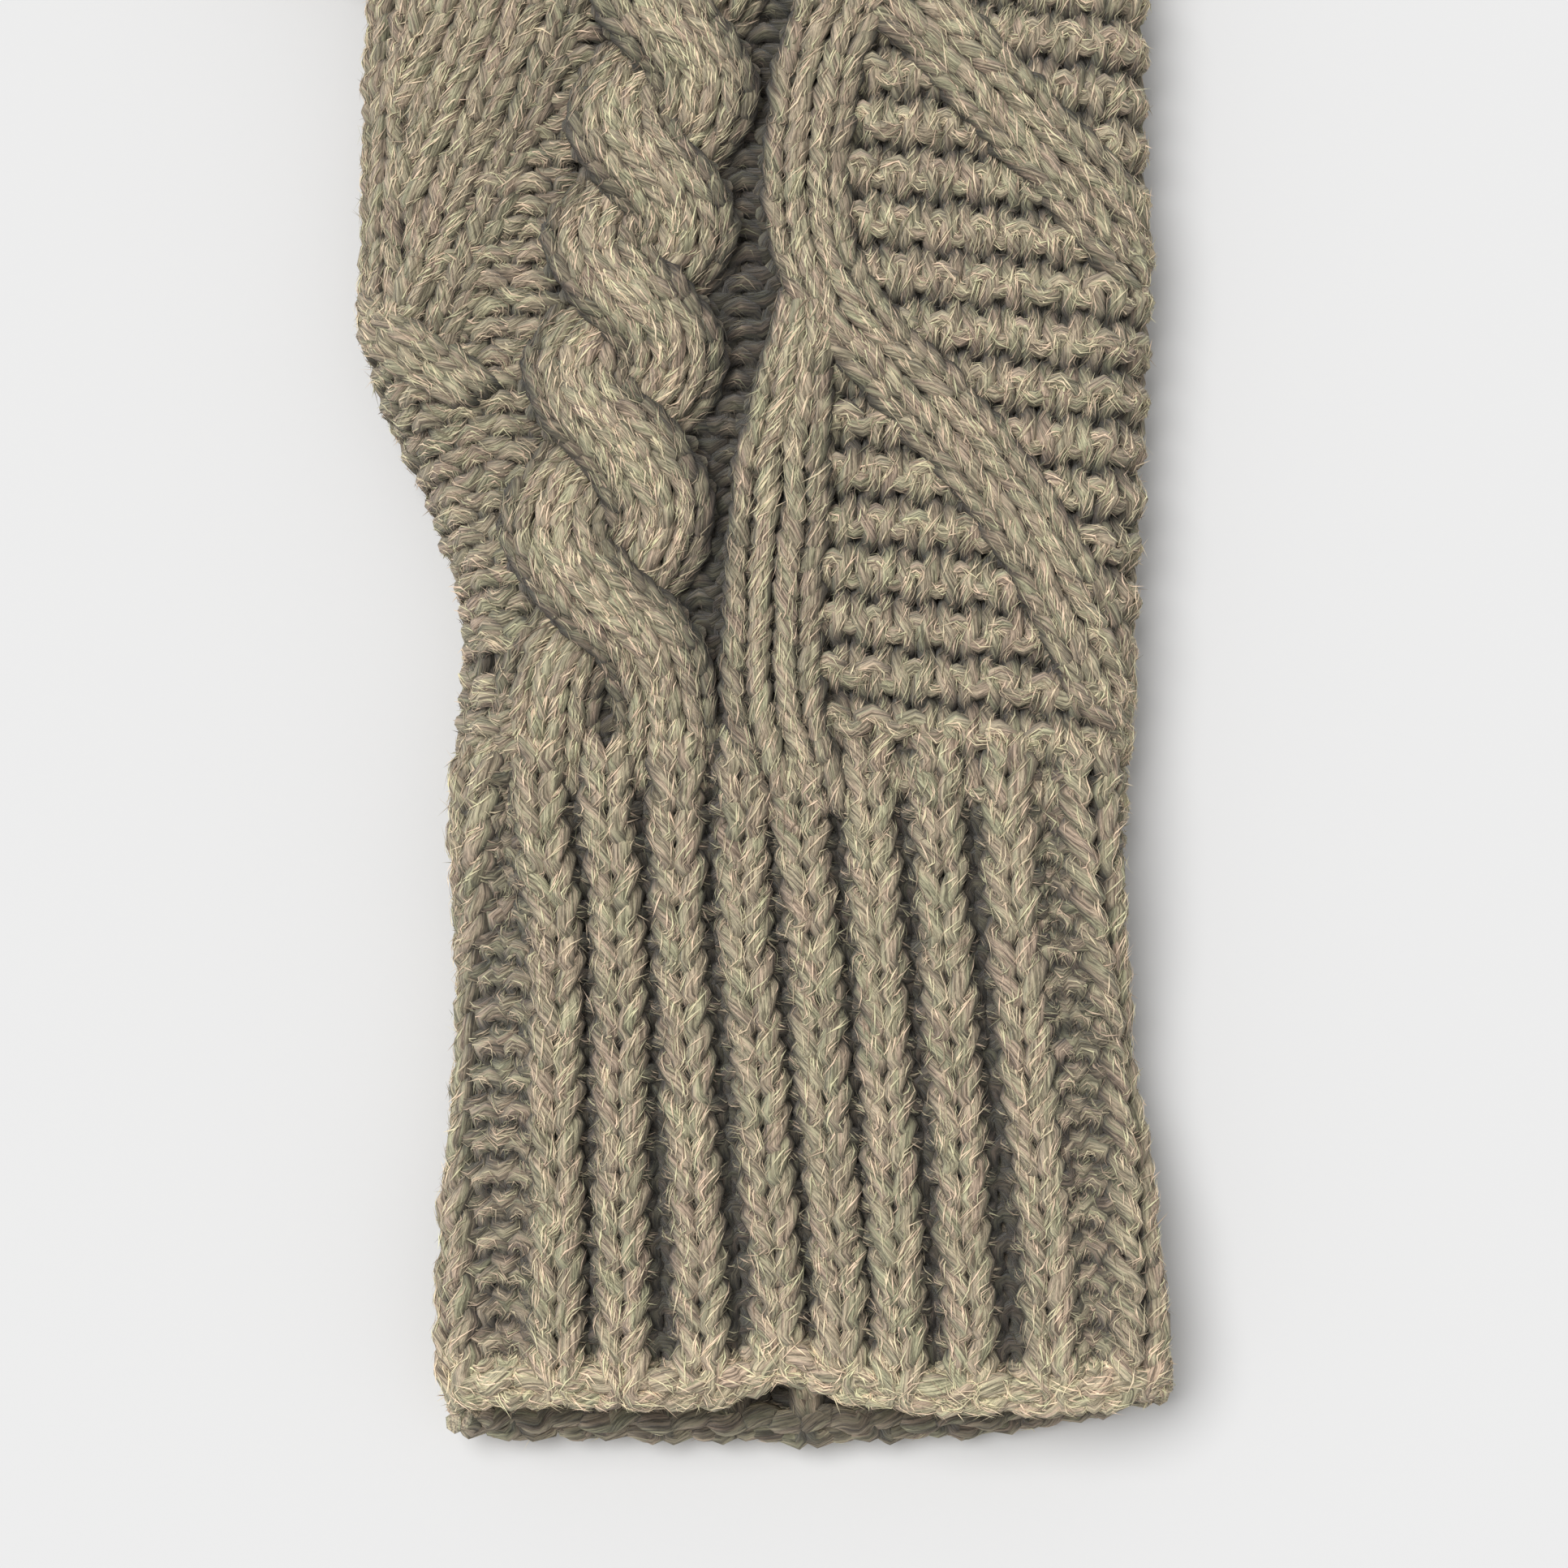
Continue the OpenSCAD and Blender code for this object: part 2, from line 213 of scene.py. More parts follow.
def fibres(fabric, per_mm):
    """Loose fibres wound round the yarn's outer side, their ends standing off it. Each is a closed sliver
    with five corners: one end, three round its middle, and the other end. Gives these and their heights."""
    slivers = [np.zeros((0, 5, 3))]
    heights = [np.zeros((0, 5))]
    fraction = np.array((0.0, 0.5, 1.0))
    for points, out, level, radius in fabric.runs:
        along = lengths_along(points)
        start = fabric.random.uniform(0, along[-1], fabric.random.poisson(along[-1] * per_mm))
        start = start[np.interp(start, along, level) > HIDDEN]
        count = len(start)
        if count == 0:
            continue
        length = fabric.random.uniform(*FIBRE_LENGTH, count)
        angle = fabric.random.normal(0, FIBRE_SPREAD, count)
        lift = fabric.random.gamma(*FIBRE_LIFT, count)
        wind = fabric.random.normal(FIBRE_TWIST, TWIST_SPREAD, count)
        width = FIBRE_WIDTH * fabric.random.uniform(*FIBRE_WIDTHS, count)
        at = np.clip(start[:, None] + length[:, None] * (fraction - 0.5), 0, along[-1])
        tangent = np.gradient(points, axis=0)
        tangent /= np.linalg.norm(tangent, axis=1, keepdims=True) + 1e-9
        side = np.cross(tangent, out)
        side /= np.linalg.norm(side, axis=1, keepdims=True) + 1e-9
        front = np.cross(side, tangent)
        turn = angle[:, None] + wind[:, None] * (at - at[:, :1])
        off = radius + FIBRE_GAP + lift[:, None] * (2 * np.abs(fraction - 0.5)) ** 2
        ring = np.cos(turn)[..., None] * sampled(at, along, front)
        ring = ring + np.sin(turn)[..., None] * sampled(at, along, side)
        line = sampled(at, along, points) + ring * off[..., None]
        edge = np.cross(line[:, 2] - line[:, 0], ring[:, 1])
        edge *= (width / 2)[:, None] / (np.linalg.norm(edge, axis=1, keepdims=True) + 1e-9)
        top = ring[:, 1] * (width / 3)[:, None]
        first, middle, last = line.transpose(1, 0, 2)
        slivers.append(np.stack([first, middle + top, middle + edge, middle - edge, last], 1))
        # these heights set the fibres' painted shade
        height = np.interp(at, along, level) + radius * np.cos(turn)
        heights.append(height[:, (0, 1, 1, 1, 2)])
    return np.concatenate(slivers), np.concatenate(heights)


# ---- yarn as meshes
def yarn_tree():
    """Sweeps a round section along each run of yarn. Loose fibres come in finished and pass through."""
    tree = bpy.data.node_groups.new("spun yarn", "GeometryNodeTree")
    face = tree.interface
    face.new_socket("Geometry", in_out="INPUT", socket_type="NodeSocketGeometry")
    sides = face.new_socket("Yarn Sides", in_out="INPUT", socket_type="NodeSocketInt")
    sides.default_value = 8
    face.new_socket("Material", in_out="INPUT", socket_type="NodeSocketMaterial")
    face.new_socket("Geometry", in_out="OUTPUT", socket_type="NodeSocketGeometry")
    link = tree.links.new
    add = tree.nodes.new
    source = add("NodeGroupInput")
    target = add("NodeGroupOutput")

    loose = add("GeometryNodeInputNamedAttribute")
    loose.data_type = "FLOAT"
    loose.inputs["Name"].default_value = "loose"
    is_loose = add("FunctionNodeCompare")
    is_loose.data_type = "FLOAT"
    is_loose.operation = "GREATER_THAN"
    is_loose.inputs["B"].default_value = LOOSE_FROM
    link(loose.outputs["Attribute"], is_loose.inputs["A"])
    split = add("GeometryNodeSeparateGeometry")
    split.domain = "POINT"
    link(source.outputs["Geometry"], split.inputs["Geometry"])
    link(is_loose.outputs["Result"], split.inputs["Selection"])

    curve = add("GeometryNodeMeshToCurve")
    link(split.outputs["Inverted"], curve.inputs["Mesh"])
    thick = add("GeometryNodeInputNamedAttribute")
    thick.data_type = "FLOAT"
    thick.inputs["Name"].default_value = "thick"
    circle = add("GeometryNodeCurvePrimitiveCircle")
    circle.inputs["Radius"].default_value = 1.0
    link(source.outputs["Yarn Sides"], circle.inputs["Resolution"])
    turn = add("GeometryNodeCaptureAttribute")
    turn.capture_items.new("VECTOR", "Around")
    where = add("GeometryNodeInputPosition")
    link(circle.outputs["Curve"], turn.inputs["Geometry"])
    link(where.outputs["Position"], turn.inputs["Around"])
    sweep = add("GeometryNodeCurveToMesh")
    sweep.inputs["Fill Caps"].default_value = True
    link(curve.outputs["Curve"], sweep.inputs["Curve"])
    link(turn.outputs["Geometry"], sweep.inputs["Profile Curve"])
    link(thick.outputs["Attribute"], sweep.inputs["Scale"])
    store = add("GeometryNodeStoreNamedAttribute")
    store.data_type = "FLOAT_VECTOR"
    store.domain = "POINT"
    store.inputs["Name"].default_value = "around"
    link(sweep.outputs["Mesh"], store.inputs["Geometry"])
    link(turn.outputs["Around"], store.inputs["Value"])

    join = add("GeometryNodeJoinGeometry")
    smooth = add("GeometryNodeSetShadeSmooth")
    link(store.outputs["Geometry"], smooth.inputs["Geometry"])
    link(smooth.outputs["Geometry"], join.inputs["Geometry"])
    link(split.outputs["Selection"], join.inputs["Geometry"])
    real = add("GeometryNodeRealizeInstances")
    link(join.outputs["Geometry"], real.inputs["Geometry"])
    paint = add("GeometryNodeSetMaterial")
    link(real.outputs["Geometry"], paint.inputs["Geometry"])
    link(source.outputs["Material"], paint.inputs["Material"])
    link(paint.outputs["Geometry"], target.inputs["Geometry"])
    return tree


def input_id(tree, name):
    return next(s.identifier for s in tree.interface.items_tree if s.name == name and s.in_out == "INPUT")


def store(mesh, name, values):
    """Stores one number for each point."""
    item = mesh.attributes.new(name, "FLOAT", "POINT")
    item.data.foreach_set("value", values.astype(np.float32))


def store_vectors(mesh, name, values):
    item = mesh.attributes.new(name, "FLOAT_VECTOR", "POINT")
    item.data.foreach_set("vector", values.astype(np.float32).ravel())


START_SPREAD = 400  # each run of yarn starts anywhere in this many millimetres of streaks


def spin(fabric, tree, material, per_mm):
    """Turns a fabric's yarn runs and its loose fibres into one plain mesh object."""
    slivers, heights = fibres(fabric, per_mm)
    runs = [run[0] for run in fabric.runs]
    sizes = np.array([len(run) for run in runs])
    yarn_points = sizes.sum()
    loose_points = heights.size
    vertices = (np.concatenate([*runs, slivers.reshape(-1, 3)]) + (CHART_X, CHART_Y, 0)) * MM
    inner = np.ones(yarn_points, bool)
    inner[np.cumsum(sizes) - 1] = False
    lower = np.nonzero(inner)[0]
    faces = yarn_points + (5 * np.arange(len(slivers))[:, None, None] + FIBRE_FACES).reshape(-1, 3)
    along = [lengths_along(run) + fabric.random.uniform(0, START_SPREAD) for run in runs]
    tone = np.repeat(fabric.random.uniform(*TONES, len(slivers)), 5)
    thick = np.repeat([run[3] for run in fabric.runs], sizes) * MM
    numbers = {
        "thick": np.concatenate([thick, np.zeros(loose_points)]),
        "loose": np.concatenate([np.zeros(yarn_points), tone]),
        "along": np.concatenate([*along, np.zeros(loose_points)]),
        "level": np.concatenate([*(run[2] for run in fabric.runs), heights.ravel()]),
    }
    outward = np.concatenate([*(run[1] for run in fabric.runs), np.zeros((loose_points, 3))])
    mesh = bpy.data.meshes.new(fabric.name)
    mesh.from_pydata(vertices, np.stack([lower, lower + 1], 1), faces)
    for name, values in numbers.items():
        store(mesh, name, values)
    store_vectors(mesh, "core", vertices)
    store_vectors(mesh, "outward", outward)
    mesh.update()
    strand = bpy.data.objects.new(fabric.name + "_run", mesh)
    bpy.context.scene.collection.objects.link(strand)
    modifier = strand.modifiers.new("yarn", "NODES")
    modifier.node_group = tree
    modifier[input_id(tree, "Material")] = material
    modifier[input_id(tree, "Yarn Sides")] = fabric.sides
    depsgraph = bpy.context.evaluated_depsgraph_get()
    swept = bpy.data.meshes.new_from_object(
        strand.evaluated_get(depsgraph), preserve_all_data_layers=True, depsgraph=depsgraph
    )
    bpy.data.objects.remove(strand)
    set_height(swept)
    piece = bpy.data.objects.new(fabric.name, swept)
    bpy.context.scene.collection.objects.link(piece)
    return piece


def vectors(mesh, name):
    values = np.empty(3 * len(mesh.vertices), np.float32)
    mesh.attributes[name].data.foreach_get("vector", values)
    return values.reshape(-1, 3)


def set_height(mesh):
    """Stores how high each point of the yarn lies in the fabric, in millimetres from its middle."""
    level = np.empty(len(mesh.vertices), np.float32)
    mesh.attributes["level"].data.foreach_get("value", level)
    stand = ((vectors(mesh, "position") - vectors(mesh, "core")) * vectors(mesh, "outward")).sum(1) / MM
    # the material paints shade by this height
    store(mesh, "height", level + stand)
    for name in ("thick", "level", "core", "outward"):
        mesh.attributes.remove(mesh.attributes[name])


# ---- materials
def feed(tree, target, value):
    """Gives an input a number, a colour or another node's output."""
    if isinstance(value, (int, float)):
        target.default_value = value
    elif isinstance(value, tuple):
        target.default_value = (*value, 1)
    else:
        tree.links.new(value, target)


def maths(tree, operation, *values):
    node = tree.nodes.new("ShaderNodeMath")
    node.operation = operation
    for slot, value in enumerate(values):
        feed(tree, node.inputs[slot], value)
    return node.outputs[0]


def attribute(tree, name, output):
    node = tree.nodes.new("ShaderNodeAttribute")
    node.attribute_name = name
    return node.outputs[output]


def noise(tree, vector, scale, detail, rough=0.5):
    node = tree.nodes.new("ShaderNodeTexNoise")
    node.inputs["Scale"].default_value = scale
    node.inputs["Detail"].default_value = detail
    node.inputs["Roughness"].default_value = rough
    tree.links.new(vector, node.inputs["Vector"])
    return node


def triple(tree, x, y, z):
    node = tree.nodes.new("ShaderNodeCombineXYZ")
    for slot, value in enumerate((x, y, z)):
        feed(tree, node.inputs[slot], value)
    return node.outputs[0]


HEATHER_PACE = 0.11  # how fast the heather and the tint change along the yarn
TINT_PACE = 0.05
TINT_SLICE = 3.0  # keeps the tint's noise apart from the heather's


def spun_fibre_group():
    """Streaks of fibre that wind round the yarn, the groove between its plies, and slow heather along."""
    group = bpy.data.node_groups.new("spun fibre", "ShaderNodeTree")
    for name, value in (("Twist", 0.35), ("Fineness", 4.2), ("Stretch", 0.25)):
        given = group.interface.new_socket(name, in_out="INPUT", socket_type="NodeSocketFloat")
        given.default_value = value
    for name in ("Streak", "Ply", "Heather", "Tint"):
        group.interface.new_socket(name, in_out="OUTPUT", socket_type="NodeSocketFloat")
    link = group.links.new
    source = group.nodes.new("NodeGroupInput")
    target = group.nodes.new("NodeGroupOutput")
    along = attribute(group, "along", "Fac")
    around = attribute(group, "around", "Vector")
    turn = group.nodes.new("ShaderNodeVectorRotate")
    turn.rotation_type = "Z_AXIS"
    link(around, turn.inputs["Vector"])
    link(maths(group, "MULTIPLY", along, source.outputs["Twist"]), turn.inputs["Angle"])
    axes = group.nodes.new("ShaderNodeSeparateXYZ")
    link(turn.outputs["Vector"], axes.inputs[0])
    fine = [maths(group, "MULTIPLY", axes.outputs[k], source.outputs["Fineness"]) for k in (0, 1)]
    run = maths(group, "MULTIPLY", along, source.outputs["Stretch"])
    streak = noise(group, triple(group, fine[0], fine[1], run), scale=1.0, detail=4.0, rough=0.65)
    ply = maths(group, "ABSOLUTE", axes.outputs[0])
    slow = maths(group, "MULTIPLY", along, HEATHER_PACE)
    heather = noise(group, triple(group, axes.outputs[0], axes.outputs[1], slow), scale=1.2, detail=2.0)
    slower = maths(group, "MULTIPLY", along, TINT_PACE)
    tint = noise(group, triple(group, slower, TINT_SLICE, axes.outputs[1]), scale=1.6, detail=3.0)
    link(streak.outputs["Fac"], target.inputs["Streak"])
    link(ply, target.inputs["Ply"])
    link(heather.outputs["Fac"], target.inputs["Heather"])
    link(tint.outputs["Fac"], target.inputs["Tint"])
    return group


def ramp(tree, value, stops):
    node = tree.nodes.new("ShaderNodeValToRGB")
    while len(node.color_ramp.elements) < len(stops):
        node.color_ramp.elements.new(0.5)
    for element, (place, colour) in zip(node.color_ramp.elements, stops):
        element.position = place
        element.color = (*colour, 1)
    tree.links.new(value, node.inputs["Fac"])
    return node.outputs["Color"]


def mix(tree, kind, share, a, b):
    node = tree.nodes.new("ShaderNodeMix")
    node.data_type = "RGBA"
    node.blend_type = kind
    for name, kind_of_value, value in (("Factor", "VALUE", share), ("A", "RGBA", a), ("B", "RGBA", b)):
        fitting = [item for item in node.inputs if item.name == name and item.type == kind_of_value]
        feed(tree, fitting[0], value)
    return next(s for s in node.outputs if s.type == "RGBA")


# Painted shade: little light gets down into wool, so the colour is painted darker towards the fabric's
# middle and a little lighter on the crests as painted highlight: (place, shade), from 0 at the fabric's
# middle to 1 well out on a face.
SHADE_STOPS = ((0.0, 0.1), (0.25, 0.22), (0.52, 0.72), (0.8, 1.05))
DEPTH_SCALE = 0.3  # takes millimetres from the fabric's middle to such a place
GREENISH = (0.92, 1.02, 0.89)
PINKISH = (1.1, 0.97, 0.98)
HUE_SPREAD = 29.0  # gives fibres of nearly the same tone quite different hues
PLY_BUMP = 0.25  # depth of the groove between plies, against that of the streaks


def wool(name, dark, light, spun):
    """Soft heathered wool, in a yarn whose fibres wind round it, with painted shade set by the yarn's depth
    in the fabric.
    """
    material = bpy.data.materials.new(name)
    material.use_nodes = True
    tree = material.node_tree
    shader = tree.nodes["Principled BSDF"]
    shader.inputs["Roughness"].default_value = 0.85
    shader.inputs["Specular IOR Level"].default_value = 0.2
    shader.inputs["Sheen Weight"].default_value = 0.25
    shader.inputs["Sheen Roughness"].default_value = 0.6
    fibre = tree.nodes.new("ShaderNodeGroup")
    fibre.node_tree = spun
    streaked = ramp(tree, fibre.outputs["Streak"], [(0.39, dark), (0.59, light)])
    hue = ramp(tree, fibre.outputs["Tint"], [(0.35, GREENISH), (0.65, PINKISH)])
    colour = mix(tree, "MULTIPLY", 1.0, streaked, hue)
    shade = ramp(tree, fibre.outputs["Heather"], [(0.3, (0.8,) * 3), (0.7, (1.1,) * 3)])
    colour = mix(tree, "MULTIPLY", 1.0, colour, shade)
    loose = attribute(tree, "loose", "Fac")
    fibre_tone = ramp(tree, loose, [
        (0.2, tuple(c * 1.1 for c in dark)),
        (0.6, tuple(c * 0.97 for c in light)),
        (1.0, tuple(c * 1.25 for c in light)),
    ])
    fibre_share = maths(tree, "FRACT", maths(tree, "MULTIPLY", loose, HUE_SPREAD))
    fibre_hue = ramp(tree, fibre_share, [(0.1, GREENISH), (0.9, PINKISH)])
    fibre_tone = mix(tree, "MULTIPLY", 1.0, fibre_tone, fibre_hue)
    is_loose = maths(tree, "GREATER_THAN", loose, LOOSE_FROM)
    colour = mix(tree, "MIX", is_loose, colour, fibre_tone)
    # painted shade: the colour is darkened by how deep the yarn lies in the fabric, and lightened a little
    # on the crests
    from_middle = maths(tree, "ABSOLUTE", attribute(tree, "height", "Fac"))
    depth = maths(tree, "MULTIPLY", from_middle, DEPTH_SCALE)
    painted_shade = ramp(tree, depth, [(place, (level,) * 3) for place, level in SHADE_STOPS])
    tree.links.new(mix(tree, "MULTIPLY", 1.0, colour, painted_shade), shader.inputs["Base Color"])
    groove = maths(tree, "MULTIPLY", fibre.outputs["Ply"], PLY_BUMP)
    height = maths(tree, "ADD", fibre.outputs["Streak"], groove)
    bump = tree.nodes.new("ShaderNodeBump")
    bump.inputs["Strength"].default_value = 0.9
    bump.inputs["Distance"].default_value = 0.0009
    tree.links.new(height, bump.inputs["Height"])
    tree.links.new(bump.outputs["Normal"], shader.inputs["Normal"])
    return material


# ---- yarn and stitch sizes
CUFF_STITCH = 6.0  # width of a raised rib
HAND_ROW = 3.0
GARTER_ROW = 3.05
GARTER_RISE = 0.5  # each ridge stands up by this much
WALE_RISE = 0.5  # each column of a raised strip stands up by this much
ROPE_WALE = 4.4
ROPE_ROW = 2.75
BAND_WALE = 5.3
SPUN = spun_fibre_group()
TREE = yarn_tree()
YARN = wool("greige_wool", (0.22, 0.18, 0.122), (0.885, 0.76, 0.55), SPUN)
FUZZ = 3.7  # loose fibres for each millimetre of yarn
CUFF_FUZZ = FUZZ - 0.25  # fewer in the two fullest pieces
GARTER_FUZZ = FUZZ - 0.3
UNDER_FUZZ = 0.8  # and where the glove lies on them


def ease(low, high, value):
    t = np.clip((value - low) / (high - low), 0, 1)
    return t * t * (3 - 2 * t)


def left_u(y):
    return flat_left(y) - ROLL * math.pi / 2


def right_u(y):
    return flat_right(y) + ROLL * math.pi / 2


def all_of(kinds):
    return lambda row: (0, kinds)


def same(value):
    return lambda place: value + 0 * place


# ---- cuff
# Where the raised ribs run: one line of middles for each height above the lip.
RIB_LEVELS = (14.0, 59.0, 74.0)
RIB_LINES = (
    (-42.0, -31.0, -23.0, -13.5, -4.0, 3.5, 10.5, 19.0, 29.0, 39.0),
    (-40.0, -31.0, -23.5, -16.0, -8.0, 0.0, 8.0, 16.0, 24.5, 34.0),
    (-40.0, -33.0, -25.0, -16.5, -8.5, -1.5, 7.0, 15.0, 23.5, 33.0),
)
RIBS = len(RIB_LINES[0])
WIDE_BEFORE = (1, 9)  # the gaps before these ribs are two stitches wide
WIDE_HEIGHT = -0.15  # and this deep, where a narrow gap is -1 and a rib 1
SIDE_ROOM = 0.4  # room beside the outermost ribs, in ribs
LIP_SMOOTH = 1.0  # the ribs rise from the smooth lip between these two heights
LIP_FADE = 8.0
LIP_RIB = 0.1  # this share of a rib is left on the lip
RIB_RISE = 1.9  # how far the ribs stand above the gaps between them
RIB_SHADE = 0.1  # this share of a rib's own height counts for its shading
CUFF_FIRST_ROW = 1.1  # the first course lies above the lip's yarns
CUFF_TUCK = 3.5  # the ribbing runs on this far beneath the hand
TUCK_START = 3.0  # begins to draw in this far before the cuff's end
TUCK_DEPTH = 1.4  # and ends this much nearer the glove's middle
UNDER_RIB = 0.5  # share of the ribs' height that is left in the layer below
UNDER_TUCK = 0.9  # that layer is drawn in by this much, but less within UNDER_SIDE of its sides
UNDER_SIDE = 5.0
STITCH_GUESS = 4.2  # a first guess of where stitch q lies: this far on for each, from GUESS_START
GUESS_START = -48.0

# The lip's yarns: radius, (height above the lip's end, stand from the fabric's middle) of each, and the
# waves that they make with the ribs above them.
LIP_YARN = 1.55
LIP_YARNS = ((1.4, 0.0), (3.2, 1.0), (2.6, -1.6))
LIP_REACH = 56.0
LIP_WAVE = 8.0
LIP_PHASE = 0.37
LIP_SWAY = 0.4
LIP_HEAVE = 0.25
LIP_UNDER = 0.5  # the lower lip is drawn in by this much
LIP_LEVEL = 3.2  # painted light: edges are painted lighter, as if they stood this clear of the fabric
UNDER_SHADE = 0.85  # less so in the layer below: painted shade, standing for the upper lip's shadow
LIP_CLEAR = 2.0  # height above the lip at which that begins to fade

# The ends of both layers at the mouth, as y for each x.
FRONT_LIP_X = (-54, -46, -38, -12, -7, -4, -1, 4, 14, 30, 40, 46, 54)
FRONT_LIP_Y = (0, 1.2, 2, 1.6, 3.2, 5, 4.6, 2.4, 1, 1, 2, 2.6, 2.6)
BACK_LIP_X = (-54, -46, -40, -30, 0, 20, 35, 44, 54)
BACK_LIP_Y = (0, -2.2, -3.4, -3.6, -3.9, -3.4, -1, 1.4, 2.6)


def front_lip(u):
    return np.interp(u, FRONT_LIP_X, FRONT_LIP_Y)


def back_lip(u):
    return np.interp(u, BACK_LIP_X, BACK_LIP_Y)


def rib_edges(y, straight):
    """The boundaries between the stitches of a ribbed course, from one side of the glove to the other."""
    middle = (flat_left(y) + flat_right(y)) / 2
    lines = []
    for k in range(RIBS):
        if straight:
            line = middle + (k - (RIBS - 1) / 2) * (right_u(y) - left_u(y)) / (RIBS + SIDE_ROOM)
        else:
            line = unroll(np.interp(y, RIB_LEVELS, [level[k] for level in RIB_LINES]), y)
        if not straight and k in WIDE_BEFORE:
            lines.append((lines[-1] + line - CUFF_STITCH / 2) / 2)
        lines += [line - CUFF_STITCH / 2, line + CUFF_STITCH / 2]
    return np.stack([left_u(y), *lines, right_u(y)], -1)


def across(edges, q):
    """The place q stitches along a course whose stitch boundaries are edges."""
    count = edges.shape[1] - 1
    k = np.clip(np.floor(q).astype(int), 0, count - 1)
    row = np.arange(len(q))
    return edges[row, k] + (edges[row, k + 1] - edges[row, k]) * (q - k)


def rib_course(straight):
    """The stitches of one ribbed course."""
    course = [PURL]
    for k in range(RIBS):
        if not straight and k in WIDE_BEFORE:
            course.append(PURL)
        course += [KNIT, PURL]
    return course


def ribbing(low, high, rows, under=False, straight=True):
    """place() for ribbing between two lines low(u) and high. It is smooth along low. Where it belongs to the
    cuff, it is drawn in beneath the hand along high."""
    course = rib_course(straight)
    middles = np.arange(len(course)) + 0.5
    heights = []
    for k, kind in enumerate(course):
        beside = course[max(k - 1, 0):k] + course[k + 1:k + 2]
        heights.append(WIDE_HEIGHT if kind == PURL and PURL in beside else kind)
    heights[0] = heights[-1] = 0

    def place(q, v):
        guess = low(q * STITCH_GUESS + GUESS_START)
        level = guess + (high - guess) * v / rows
        u = across(rib_edges(level, straight), q)
        y = low(u) + (high - low(u)) * v / rows
        rib = np.sin(math.pi / 2 * np.interp(q, middles, heights))
        above_lip = y - low(u)
        relief = RIB_RISE * rib * (LIP_RIB + (1 - LIP_RIB) * ease(LIP_SMOOTH, LIP_FADE, above_lip))
        lift = relief
        if under:
            to_side = np.minimum(u - left_u(y), right_u(y) - u)
            lift = relief * UNDER_RIB - UNDER_TUCK * ease(0, UNDER_SIDE, to_side)
        tuck = ease(CUFF_END - TUCK_START, CUFF_END + CUFF_TUCK, y) * (high < FINGER_RIB)
        # painted light: courses near the lip are painted lighter, the lower layer's less so; gaps count
        # their full depth for the painted shade, ribs only RIB_SHADE of theirs
        at_lip = (LIP_LEVEL - UNDER_SHADE * under) * (1 - ease(LIP_CLEAR, LIP_FADE, above_lip))
        points, out = wrap(u, y, lift * (1 - tuck) - TUCK_DEPTH * tuck, under)
        return points, out, np.where(relief > 0, RIB_SHADE * relief, relief) + at_lip
    return place


def cuff(name, seed, lip, rows, under):
    fabric = Fabric(name, seed, 6 if under else 7)
    place = ribbing(lip, CUFF_END + CUFF_TUCK, rows, under, straight=under)
    courses = np.arange(CUFF_FIRST_ROW, rows)
    knit(fabric, courses, all_of(rib_course(under)), place, swing=0.26, rise=0.95, radius=1.36)
    return spin(fabric, TREE, YARN, UNDER_FUZZ if under else CUFF_FUZZ)


def cast_on(fabric, lip, under):
    """Thick yarns that run side by side along the lip, waving a little with the ribs above them."""
    u = np.arange(-LIP_REACH, LIP_REACH, 0.5)
    y = lip(u)
    inside = (u > left_u(y)) & (u < right_u(y))
    u, y = u[inside], y[inside]
    for line, (above, stand) in enumerate(LIP_YARNS):
        wave = 2 * math.pi * (u / LIP_WAVE + LIP_PHASE * line)
        lift = stand + LIP_HEAVE * np.sin(2 * wave) - LIP_UNDER * under
        points, out = wrap(u, y + above + LIP_SWAY * np.cos(wave), lift, under)
        shake = np.stack([wobble(u, y, line + k) for k in range(3)], -1)
        # painted light on the lip's yarns, with painted shade in the layer below
        level = np.full(len(u), LIP_LEVEL - UNDER_SHADE * under)
        fabric.add(points + UNEVEN * shake, out, level, LIP_YARN)


FINE_STEP = 0.4  # between the points of seams and yarn ends
SEAM_PITCH = 5  # length of one whip stitch
SEAM_INSIDE = 5.4  # from the side line to the seam's middle
SEAM_WIDE = 0.8
SEAM_HIGH = 1.6
SEAM_YARN = 0.8


def inner_seam(name, seed, low, high):
    """Whip stitches over the join inside the outer side."""
    fabric = Fabric(name, seed)
    y = np.arange(low, high, FINE_STEP)
    turn = 2 * math.pi * y / SEAM_PITCH
    x = flat_right(y) + MID_H - SEAM_INSIDE + SEAM_WIDE * np.cos(turn)
    points = np.stack([x, y, MID_H + SEAM_HIGH * np.sin(turn)], -1)
    out = np.tile((-1.0, 0.0, 0.0), (len(y), 1))
    fabric.add(points, out, np.zeros(len(y)), SEAM_YARN)
    return spin(fabric, TREE, YARN, FUZZ)


END_LENGTH = 24
END_INSIDE = 2  # from the edge of the flat part
END_Z = 5.0
END_SWAY = 0.8  # to each side, and up and down
END_YARN = 0.95


def darned_end(name, seed, start):
    """A yarn end woven in and out along the inside of the lower layer."""
    fabric = Fabric(name, seed)
    y = np.arange(start, start + END_LENGTH, FINE_STEP)
    x = flat_right(y) - END_INSIDE + END_SWAY * np.sin(y * 0.5)
    points = np.stack([x, y, END_Z + END_SWAY * np.sin(y * 1.3)], -1)
    fabric.add(points, np.tile((0.0, 0.0, 1.0), (len(y), 1)), np.zeros(len(y)), END_YARN)
    return spin(fabric, TREE, YARN, 2 * FUZZ)


